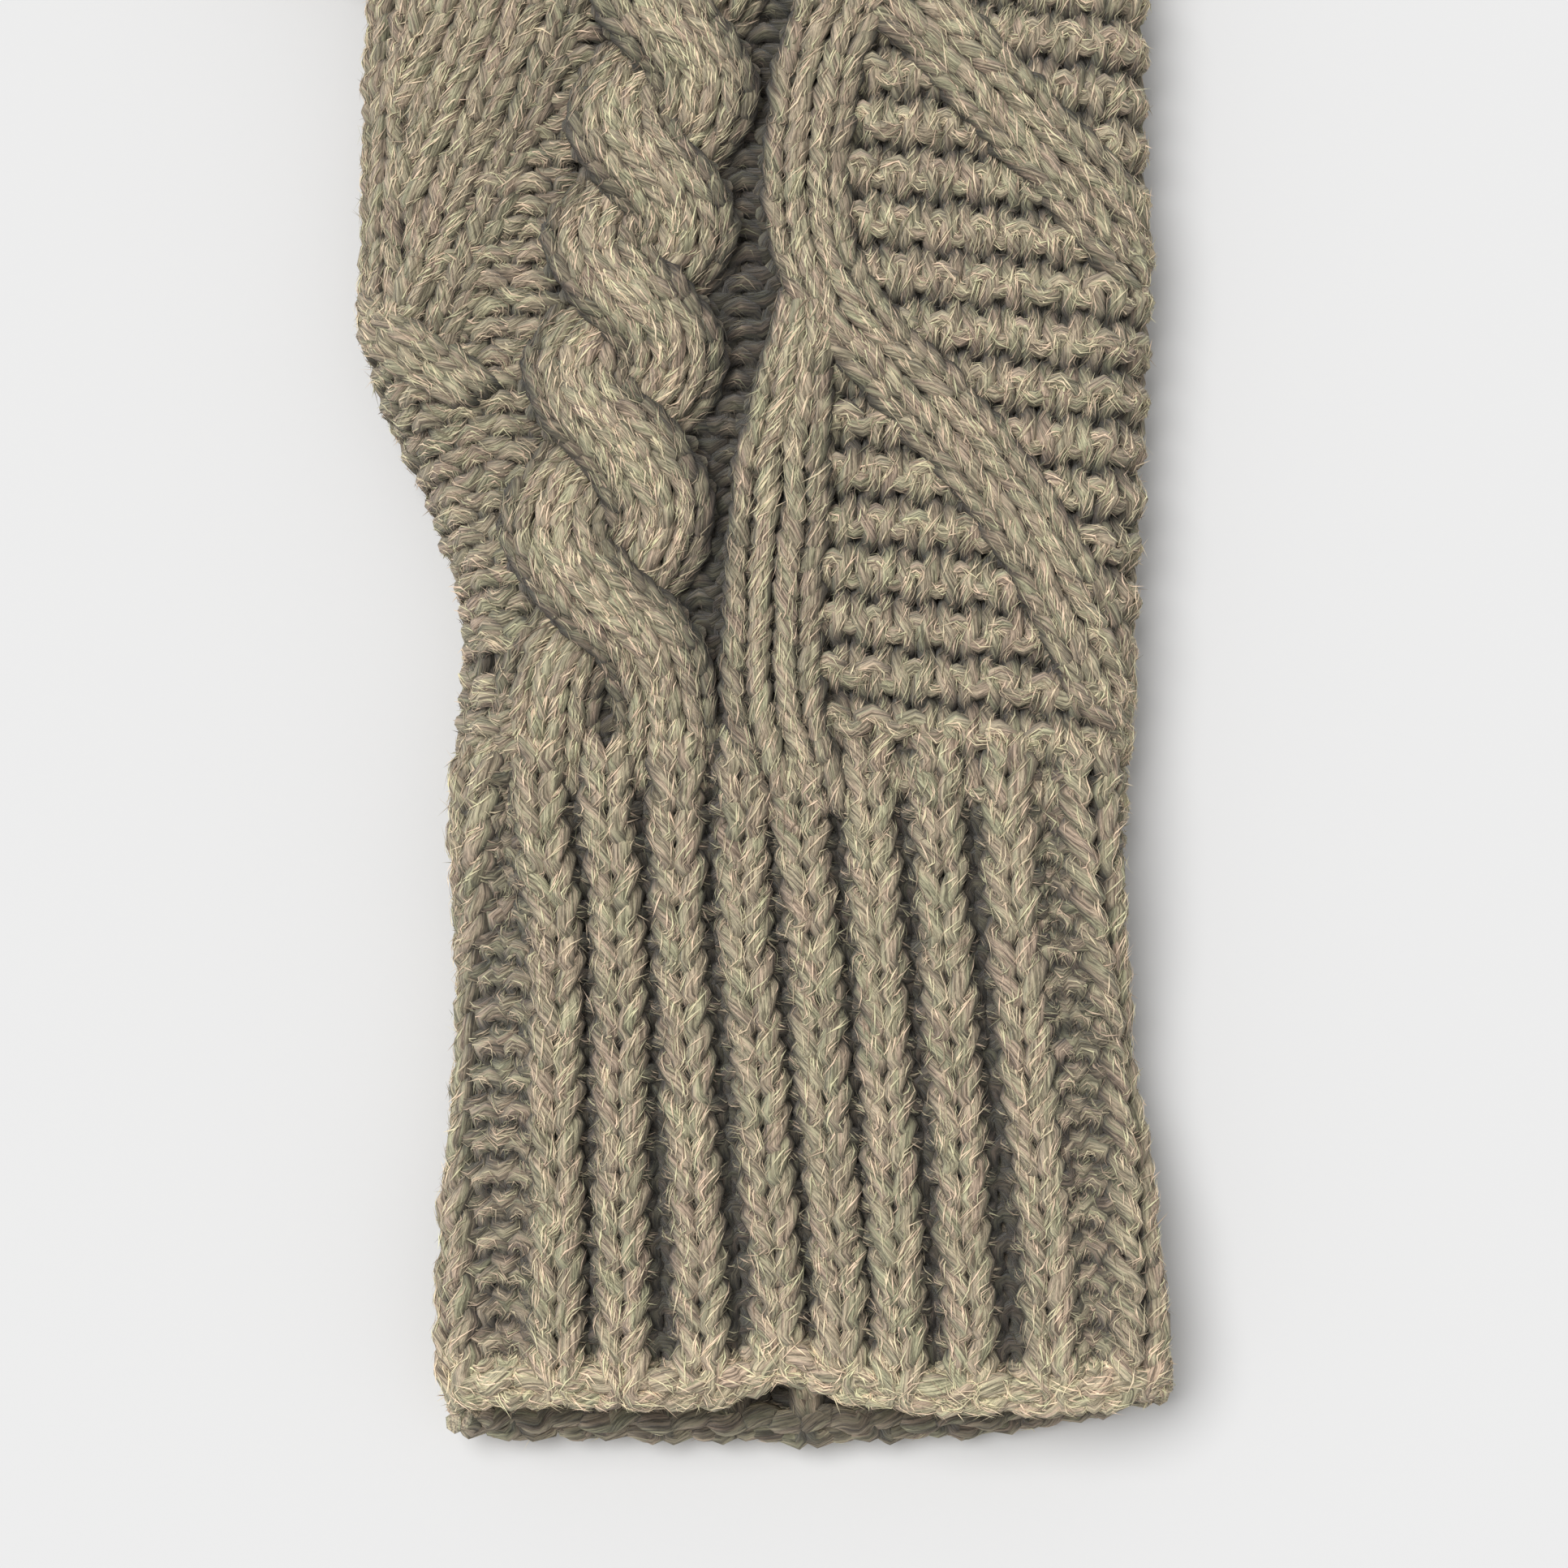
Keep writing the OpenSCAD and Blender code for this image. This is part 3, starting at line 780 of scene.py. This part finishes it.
# ---- back of the hand
BAND_Y = (76, 84, 90, 104, 118, 132, 142, 150, 164, 174, 184, 193, 216)
BAND_X = (-1.5, -4, -5, -4.5, -3.5, -1, -0.5, -1, 0.5, 4, 1, -1, 0.5)
GROUND_WALES = 11
GARTER_WALES = 9
HAND_ROWS = int((FINGER_RIB - CUFF_END) / HAND_ROW) + 1
GROUND_STEEP = 0.3  # how steeply the ground's courses slope near the gusset
STEEP_FROM = -38.0  # left of this x
GUSSET_START = 134  # knit wales run beside the gusset from here up
EYELET = (-39.0, 91.8)  # a small hole that pushes the yarn round it apart
EYELET_SIZE = 3.5
EYELET_PUSH = 1.3
ROPE_DIP = 1.3  # the ground sinks this much beside the rope
GARTER_FALL = 0.1  # how steeply the garter courses fall to the right
GARTER_PIVOT = 5  # the x at which they are at their own height
THUMB_LOW, THUMB_HIGH = (corner.y / MM - CHART_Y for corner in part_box("thumb_fold"))
THUMB_Y = (THUMB_LOW + THUMB_HIGH) / 2
THUMB_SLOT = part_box("thumb_fold")[1].x / MM - CHART_X
THUMB_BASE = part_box("thumb_fold")[0].x / MM - CHART_X
MITRE = -50.0  # where the slanting wales of the thumb gusset meet the side


def upright_x(y):
    """The line that the upright bands follow."""
    return np.interp(y, BAND_Y, BAND_X)


def rope_x(y):
    """The line that the rope's middle follows."""
    return np.interp(y, (84, 110, 131, 148, 163, 174, 216), (-25, -25, -22.5, -20.3, -17.6, -16, -12))


def at_thumb(y):
    return THUMB_LOW - 1 < y < THUMB_HIGH + 1


def ground(q, v):
    """Purl ground of the back of the hand, from the thumb side to the upright bands."""
    level = CUFF_END + v * HAND_ROW
    left = left_u(level)
    u = left + (upright_x(level) - left) * q / GROUND_WALES
    steep = GROUND_STEEP * ease(84, 106, level) * (1 - ease(112, 150, level))
    y = level + steep * np.minimum(u - STEEP_FROM, 0)
    off = np.hypot(u - EYELET[0], y - EYELET[1]) + 1e-6
    push = EYELET_PUSH * np.exp(-((off / EYELET_SIZE) ** 2)) / off
    u, y = u + (u - EYELET[0]) * push, y + (y - EYELET[1]) * push
    dip = -ROPE_DIP * ease(-11, -8, u - rope_x(y))
    return *wrap(u, y, dip), dip


def ground_course(row):
    """Purl stitches, with knit wales beside the gusset and none where the thumb leaves."""
    level = CUFF_END + row * HAND_ROW
    if at_thumb(level):
        return 2, [PURL] * (GROUND_WALES - 2)
    side = [KNIT] * 2 if level > GUSSET_START else [PURL] * 2
    return 0, side + [PURL] * (GROUND_WALES - 2)


def garter(q, v):
    """Ridged ground, from the upright bands to the outer side. Its courses fall a little to the right."""
    level = CUFF_END + v * GARTER_ROW
    start = upright_x(level) - 1
    u = start + (right_u(level) - start) * q / GARTER_WALES
    fall = GARTER_FALL * (1 - ease(200, FINGER_RIB, level))
    ridge = -GARTER_RISE * np.cos(math.pi * v)
    return *wrap(u, level - fall * (u - GARTER_PIVOT), ridge), ridge


def garter_course(row):
    return 0, [KNIT if row % 2 else PURL] * GARTER_WALES


SMOOTHING = 12  # times that a path's corners are rounded
CROWN_FALL = 0.9  # how a strip's round section falls off to its edges
CROWN_BASE = 0.8  # and the share of it that lies below the strip's own height
SIDE_EASE = 5.0  # a strip flattens over this far before and past the rolled side
SIDE_FLAT = 0.8
BULGE_SHADE = 0.8  # this share of the section counts for its shading
# the least of that share, which limits the painted shade at a strip's edges
BULGE_LEAST = -0.5


class Path:
    """A smooth line through chart corners (x, y), measured along its length."""

    def __init__(self, corners):
        corners = np.array(corners, float)
        s = np.concatenate([[0], np.cumsum(np.hypot(*np.diff(corners, axis=0).T))])
        even = np.linspace(0, s[-1], int(s[-1]) + 2)
        line = np.stack([np.interp(even, s, corners[:, k]) for k in (0, 1)], -1)
        for _ in range(SMOOTHING):
            line[1:-1] = (line[:-2] + 2 * line[1:-1] + line[2:]) / 4
        self.line = line
        self.s = np.concatenate([[0], np.cumsum(np.hypot(*np.diff(line, axis=0).T))])
        slope = np.gradient(line, axis=0)
        self.slope = slope / np.linalg.norm(slope, axis=1, keepdims=True)
        self.length = self.s[-1]

    def at(self, s):
        x, y = (np.interp(s, self.s, self.line[:, k]) for k in (0, 1))
        dx, dy = (np.interp(s, self.s, self.slope[:, k]) for k in (0, 1))
        return x + np.minimum(s, 0) * dx, y + np.minimum(s, 0) * dy, dx, dy


def strip(path, wales, width, row, lift, crown, lean=0.5, middle=None):
    """place() for a strip of knitting that follows a path over the top, highest along its middle."""
    middle = wales / 2 if middle is None else middle

    def place(q, v):
        x, y, dx, dy = path.at(v * row)
        side = (q - middle) * width(y)
        ax, ay = lean * dy + 1 - lean, -lean * dx
        size = np.hypot(ax, ay)
        u = unroll(x, y) + side * ax / size
        y = y + side * ay / size
        edge = np.clip((q - wales / 2) / (wales / 2), -1, 1)
        bulge = crown * (np.sqrt(1 - CROWN_FALL * edge ** 2) - CROWN_BASE)
        past_side = np.maximum(u - flat_right(y), flat_left(y) - u)
        at_side = ease(-SIDE_EASE, SIDE_EASE, past_side)
        column = -WALE_RISE * np.cos(2 * math.pi * q)
        points, out = wrap(u, y, (lift(y) + bulge) * (1 - SIDE_FLAT * at_side) + column)
        # painted shade: darker towards a strip's edges and between its columns
        return points, out, np.maximum(bulge * BULGE_SHADE, BULGE_LEAST) + column
    return place


def knit_strip(name, seed, path, wales, width, row, lift, crown, lean=0.5, radius=1.22):
    fabric = Fabric(name, seed)
    rows = np.arange(0, path.length / row)
    place = strip(path, wales, width, row, lift, crown, lean)
    knit(fabric, rows, all_of([KNIT] * wales), place, swing=0.2, rise=1.1, radius=radius)
    return spin(fabric, TREE, YARN, FUZZ)


# ---- rope cable
CROSSINGS = (99, 120, 136.5, 151.5, 168, 184, 200, 216)
UNTWISTED = 90.0  # the strands lie side by side from the cuff up to here
ROPE_LOW = CUFF_END - 3
ROPE_HIGH = FINGER_RIB + 1
ROPE_HEIGHT = 3.6
ROPE_CROSS = 2.3  # a crossing lifts the upper strand and lowers the lower one by this
ROPE_SINK = 0.8  # below the fabric's face at both ends
ROPE_RISE_OVER = 16
ROPE_FADE_OVER = 14
ROPE_CROWN = 4.5


def rope_phase(y):
    turns = [math.pi * (k + 0.5) for k in range(len(CROSSINGS))]
    return np.interp(y, (UNTWISTED, *CROSSINGS), (0, *turns))


def rope_swing(y):
    """How far each strand swings from the rope's middle."""
    return np.interp(y, (82, 92, 112, 150, 216), (7.6, 6.6, 6.8, 5.4, 5.4))


def rope_strand(name, seed, way):
    y = np.arange(ROPE_LOW, ROPE_HIGH, 0.5)
    path = Path(np.stack([rope_x(y) + way * rope_swing(y) * np.cos(rope_phase(y)), y], -1))

    def lift(y):
        height = ROPE_HEIGHT + ROPE_CROSS * way * np.sin(rope_phase(y))
        risen = ease(ROPE_LOW, ROPE_LOW + ROPE_RISE_OVER, y)
        faded = ease(ROPE_HIGH - ROPE_FADE_OVER, ROPE_HIGH, y)
        return height * risen * (1 - faded) - ROPE_SINK

    width = same(ROPE_WALE)
    return knit_strip(name, seed, path, 3, width, ROPE_ROW, lift, ROPE_CROWN, lean=0.3, radius=1.12)


# ---- travelling bands
BAND_HEIGHT = 1.6
BAND_BASE = 0.3
BAND_RISE_OVER = 10
BAND_DIVE_OVER = 9
BAND_CROWN = 2.4


def band_lift(low, high):
    """Height of a band that rises from the cuff's ribbing at low and dives under another band at high."""
    def lift(y):
        dived = ease(high - BAND_DIVE_OVER, high, y)
        return BAND_HEIGHT * ease(low, low + BAND_RISE_OVER, y) * (1 - dived) + BAND_BASE
    return lift


def lower_width(y):
    """The lower band's wales narrow as it nears the middle band."""
    return 3.6 + 2.6 * (1 - ease(112, 136, y))


NOWHERE = 400  # past the glove, for a band that never dives
MIDDLE_BAND = Path((
    (37.5, 84), (35, 91), (31, 100), (26, 109), (20, 117), (13, 125), (6, 132), (0.5, 140),
    (-1, 150), (0.5, 164), (5, 175), (5.5, 182),
))
UPPER_BAND = Path((
    (39, 141), (33, 150), (26, 157), (18, 166), (10, 174), (4, 182), (-0.5, 192), (-1, 202), (0.5, 218),
))
LOWER_BAND = Path(((-1.5, 76), (-4, 84), (-5, 90), (-4.5, 104), (-3.5, 118), (-1, 132), (0.5, 139)))


# ---- thumb gusset
GUSSET_WALES = 7
GUSSET_WALE = 5.2
GUSSET_EDGE = Path(((-50, 126), (-47, 134), (-31, 174), (-29, 184), (-29, FINGER_RIB + 1)))
GUSSET_MIDDLE = GUSSET_WALES - 1
CORNER_BAND = Path(((-43, 126), (-47, 129), (-51.5, 132.5), (-55, 136)))


def gusset_course(row):
    """The wales of this course that lie inside the gusset."""
    x, y = GUSSET_EDGE.at(row * HAND_ROW)[:2]
    limit = THUMB_SLOT + 1 if y > THUMB_LOW - 4 else MITRE
    room = int((x - limit) / GUSSET_WALE + 0.5)
    count = min(max(room, 0) + 1, GUSSET_WALES)
    return GUSSET_WALES - count, [KNIT] * count


# ---- thumb
THUMB_LEN = 18.0
THUMB_TIP_W = 25.0
THUMB_TIP_H = 14.0
THUMB_UP = 1.0  # keeps its yarn off the surface it lies on
THUMB_LEAN = math.radians(40)
THUMB_STITCHES = 12
THUMB_ROW = 2.9
THUMB_RIB = 3.2  # rounds of ribbing at the open end
THUMB_OVER = 1.2  # the rim may stand past the end by a fifth of the tube's length
THUMB_FOLD = THUMB_SLOT - THUMB_BASE
THUMB_END = THUMB_FOLD + THUMB_LEN
THUMB_ROWS = int(THUMB_END / THUMB_ROW)
THUMB_DIR = np.array((-math.cos(THUMB_LEAN), math.sin(THUMB_LEAN)))
THUMB_SIDE = np.array((math.sin(THUMB_LEAN), math.cos(THUMB_LEAN)))


def thumb_round(turn, along):
    """Points round the thumb, turn from 0 to 1, along in millimetres from the hand."""
    t = np.clip((along - THUMB_FOLD) / THUMB_LEN, 0, THUMB_OVER)
    fold = np.minimum(along, THUMB_FOLD)
    cx = THUMB_SLOT - fold + THUMB_LEN * t * THUMB_DIR[0]
    cy = THUMB_Y + THUMB_LEN * t * THUMB_DIR[1]
    bend = np.clip(t, 0, 1) ** 2 * (3 - 2 * np.clip(t, 0, 1))
    side = np.stack([THUMB_SIDE[0] * bend, 1 - bend + THUMB_SIDE[1] * bend], -1)
    side /= np.linalg.norm(side, axis=1, keepdims=True)
    base_w = THUMB_HIGH - THUMB_LOW
    half_w = (base_w + (THUMB_TIP_W - base_w) * t) / 2
    half_h = (LIE_H + (THUMB_TIP_H - LIE_H) * t) / 2
    straight = 2 * (half_w - half_h)
    arc = math.pi * (half_h - SINK)
    s = (turn % 1.0) * 2 * (straight + arc)
    second = s >= straight + arc
    s = np.where(second, s - straight - arc, s)
    angle = np.maximum(s - straight, 0) / (half_h - SINK)
    x = straight / 2 - np.minimum(s, straight) - np.sin(angle) * (half_h - SINK)
    z = np.cos(angle) * (half_h - SINK)
    ox, oz = -np.sin(angle), np.cos(angle)
    flip = np.where(second, -1, 1)
    x, z, ox, oz = x * flip, z * flip, ox * flip, oz * flip
    points = np.stack([cx + side[:, 0] * x, cy + side[:, 1] * x, half_h + z + THUMB_UP], -1)
    return points, np.stack([side[:, 0] * ox, side[:, 1] * ox, oz], -1), np.zeros_like(x)


def thumb_place(q, v):
    return thumb_round(q / THUMB_STITCHES, v * THUMB_ROW)


def thumb_course(row):
    """Plain rounds, then knit one purl one at the open end."""
    if row * THUMB_ROW > THUMB_END - THUMB_RIB * THUMB_ROW:
        return 0, [KNIT, PURL] * (THUMB_STITCHES // 2)
    return 0, [KNIT] * THUMB_STITCHES


# ---- bound-off edges
FINGER_ROWS = 4
FINGER_EDGE = 1.6  # room for the bound-off edge above the finger rib
CHAIN = 4.2  # length of one chain stitch along the finger end
CHAIN_WIDE = 4.0
CHAIN_INSET = 1.2  # from the glove's end to the chain's middle
THUMB_CHAIN = 14  # chain stitches round the thumb
RIM_WIDE = 3.6
RIM_OUT = 0.6  # the chain's middle stands past the thumb's end by this


def flat_line(y):
    return lambda u: y + 0 * u


def end_chain(under):
    """place() for the chain along the finger end."""
    def place(q, v):
        u = left_u(GLOVE_END) + v * CHAIN
        y = GLOVE_END - CHAIN_INSET - (q - 0.5) * CHAIN_WIDE
        # painted light: the bound-off edge is painted lighter, like the lip
        return *wrap(u, y, 0 * u, under), 0 * u + LIP_LEVEL
    return place


def rim_place(q, v):
    along = THUMB_END + RIM_OUT - (q - 0.5) * RIM_WIDE
    points, out, relief = thumb_round(v / THUMB_CHAIN, along)
    # painted light: the thumb's rim is painted lighter, like the lip
    return points, out, relief + LIP_LEVEL


def edge_chain(fabric, place, count):
    """A bound-off edge: one chain of stitches that lies along the rim."""
    knit(fabric, range(count), all_of([KNIT]), place, swing=0.25, rise=0.85, depth=0.7, radius=1.2)


# ---- palm
PALM_WALES = 21


def palm(q, v):
    y = CUFF_END + v * HAND_ROW
    u = left_u(y) + (right_u(y) - left_u(y)) * q / PALM_WALES
    flat = np.zeros_like(u)
    return *wrap(u, y, flat, under=True), flat


def palm_course(row):
    if at_thumb(CUFF_END + row * HAND_ROW):
        return 2, [KNIT] * (PALM_WALES - 2)
    return 0, [KNIT] * PALM_WALES


# ---- the pieces
def place_piece(piece, nodes, body=None):
    """Hides the solids that the piece stands for, and hangs the piece on its body, or else bakes its place
    into its mesh.
    """
    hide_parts(*nodes)
    if body is None:
        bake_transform(piece)
    else:
        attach(piece, body)


place_piece(cuff("cuff_rib_above", 1, front_lip, 21, False), ("cuff_upper_rib", "cuff_rib_wales"))
place_piece(cuff("cuff_rib_below", 2, back_lip, 22, True), ("cuff_lower_rib",))
lip = Fabric("cast_on_lip", 3)
cast_on(lip, front_lip, False)
cast_on(lip, back_lip, True)
place_piece(spin(lip, TREE, YARN, FUZZ), ("cast_on_edge",), "cuff")
place_piece(inner_seam("cuff_seam", 4, 3, CUFF_END - 1), ("cuff_side_seam",))
place_piece(darned_end("cast_on_end", 5, 3), ("cast_on_tail",), "cuff")

purl_ground = Fabric("purl_ground", 6)
knit(purl_ground, range(-1, HAND_ROWS), ground_course, ground, rise=0.95, nod=0.15)
place_piece(spin(purl_ground, TREE, YARN, FUZZ), ("hand_upper_panel", "wrist_fold"))

ridges = Fabric("garter_ground", 7, 7)
garter_rows = int((FINGER_RIB + 3 - CUFF_END) / GARTER_ROW)
knit(ridges, range(-1, garter_rows), garter_course, garter, swing=0.2, rise=1.35, nod=0.1)
place_piece(spin(ridges, TREE, YARN, GARTER_FUZZ), ("garter_ridges",))

place_piece(rope_strand("rope_a", 8, 1), ("rope_strand_a",))
place_piece(rope_strand("rope_b", 9, -1), ("rope_strand_b",))
for name, seed, path, width, ends in (
    ("upper", 10, UPPER_BAND, same(BAND_WALE), (100, NOWHERE)),
    ("middle", 11, MIDDLE_BAND, same(BAND_WALE), (76, 183)),
    ("lower", 12, LOWER_BAND, lower_width, (72, 141)),
):
    band = knit_strip(name + "_band", seed, path, 2, width, HAND_ROW, band_lift(*ends), BAND_CROWN)
    place_piece(band, (name + "_travelling_band",), "hand" if name == "upper" else None)

gusset = Fabric("thumb_gusset", 13)
gusset_place = strip(
    GUSSET_EDGE, GUSSET_WALES, same(GUSSET_WALE), HAND_ROW, same(0.9), crown=1.6, middle=GUSSET_MIDDLE
)
knit(gusset, np.arange(2, GUSSET_EDGE.length / HAND_ROW), gusset_course, gusset_place, radius=1.25)
corner_place = strip(CORNER_BAND, 2, same(3.4), HAND_ROW, same(1.7), crown=1.6)
knit(gusset, np.arange(0, CORNER_BAND.length / HAND_ROW), all_of([KNIT] * 2), corner_place, radius=1.15)
place_piece(spin(gusset, TREE, YARN, FUZZ), ("gusset_band",), "hand")

place_piece(inner_seam("hand_seam", 14, CUFF_END + 1, GLOVE_END - 2), ("hand_side_seam",))

plain = Fabric("palm", 15, 6)
knit(plain, range(-1, HAND_ROWS), palm_course, palm, radius=1.2)
place_piece(spin(plain, TREE, YARN, UNDER_FUZZ), ("palm_panel",))

for name, seed, under, nodes in (
    ("finger_rib_above", 16, False, ("finger_rib_upper", "finger_rib_wales")),
    ("finger_rib_below", 17, True, ("finger_rib_lower",)),
):
    finger = Fabric(name, seed)
    finger_place = ribbing(flat_line(FINGER_RIB), GLOVE_END - FINGER_EDGE, FINGER_ROWS, under)
    course = all_of(rib_course(True))
    knit(finger, range(FINGER_ROWS), course, finger_place, swing=0.28, rise=0.95, radius=1.4)
    place_piece(spin(finger, TREE, YARN, FUZZ), nodes, "hand")

bound = Fabric("bound_off_edge", 18)
for under in (False, True):
    edge_chain(bound, end_chain(under), int((right_u(GLOVE_END) - left_u(GLOVE_END)) / CHAIN) + 1)
place_piece(spin(bound, TREE, YARN, FUZZ), ("bind_off_edge",), "hand")
place_piece(darned_end("bind_off_end", 19, GLOVE_END - 29), ("bind_off_tail",), "hand")

tube = Fabric("thumb_tube_knit", 20)
knit(tube, range(THUMB_ROWS), thumb_course, thumb_place, radius=1.2)
thumb = spin(tube, TREE, YARN, FUZZ)
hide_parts("thumb_tube", "thumb_fold", "thumb_rib_wales")
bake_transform(thumb)

thumb_rim = Fabric("thumb_rim", 21)
edge_chain(thumb_rim, rim_place, THUMB_CHAIN)
place_piece(spin(thumb_rim, TREE, YARN, FUZZ), ("thumb_bind_off_edge",), "thumb")

# ---- floor, light and camera
scene = bpy.context.scene
FLOOR_SIZE = 12.0
floor_mesh = bpy.data.meshes.new("floor")
half = FLOOR_SIZE / 2
corners = [(-half, -half, 0), (half, -half, 0), (half, half, 0), (-half, half, 0)]
floor_mesh.from_pydata(corners, [], [(0, 1, 2, 3)])
floor = bpy.data.objects.new("floor", floor_mesh)
scene.collection.objects.link(floor)
paper = bpy.data.materials.new("pale_floor")
paper.use_nodes = True
paper_shader = paper.node_tree.nodes["Principled BSDF"]
paper_shader.inputs["Base Color"].default_value = (0.8, 0.8, 0.8, 1)
paper_shader.inputs["Roughness"].default_value = 0.9
paper_shader.inputs["Specular IOR Level"].default_value = 0.0
floor_mesh.materials.append(paper)

world = bpy.data.worlds.new("studio")
scene.world = world
world.use_nodes = True
sky = world.node_tree.nodes["Background"]
sky.inputs["Color"].default_value = (1, 1, 1, 1)
sky.inputs["Strength"].default_value = 0.45
sun_light = bpy.data.lights.new("window", "SUN")
sun_light.energy = 2.2
sun_light.angle = 0.6
sun = bpy.data.objects.new("window", sun_light)
sun.rotation_euler = Vector((0.4, -0.35, -1.0)).to_track_quat("-Z", "Y").to_euler()
scene.collection.objects.link(sun)
scene.view_settings.view_transform = "Standard"

FRAME_WIDTH = 193.2  # millimetres across the view
AIM = (-3.4, 77.4)  # the chart point under the camera
lens = bpy.data.cameras.new("overhead")
lens.lens = 85
lens.dof.use_dof = False
overhead = bpy.data.objects.new("overhead", lens)
distance = FRAME_WIDTH * lens.lens / lens.sensor_width
overhead.location = Vector((AIM[0] + CHART_X, AIM[1] + CHART_Y, MID_H + distance)) * MM
scene.collection.objects.link(overhead)
scene.camera = overhead
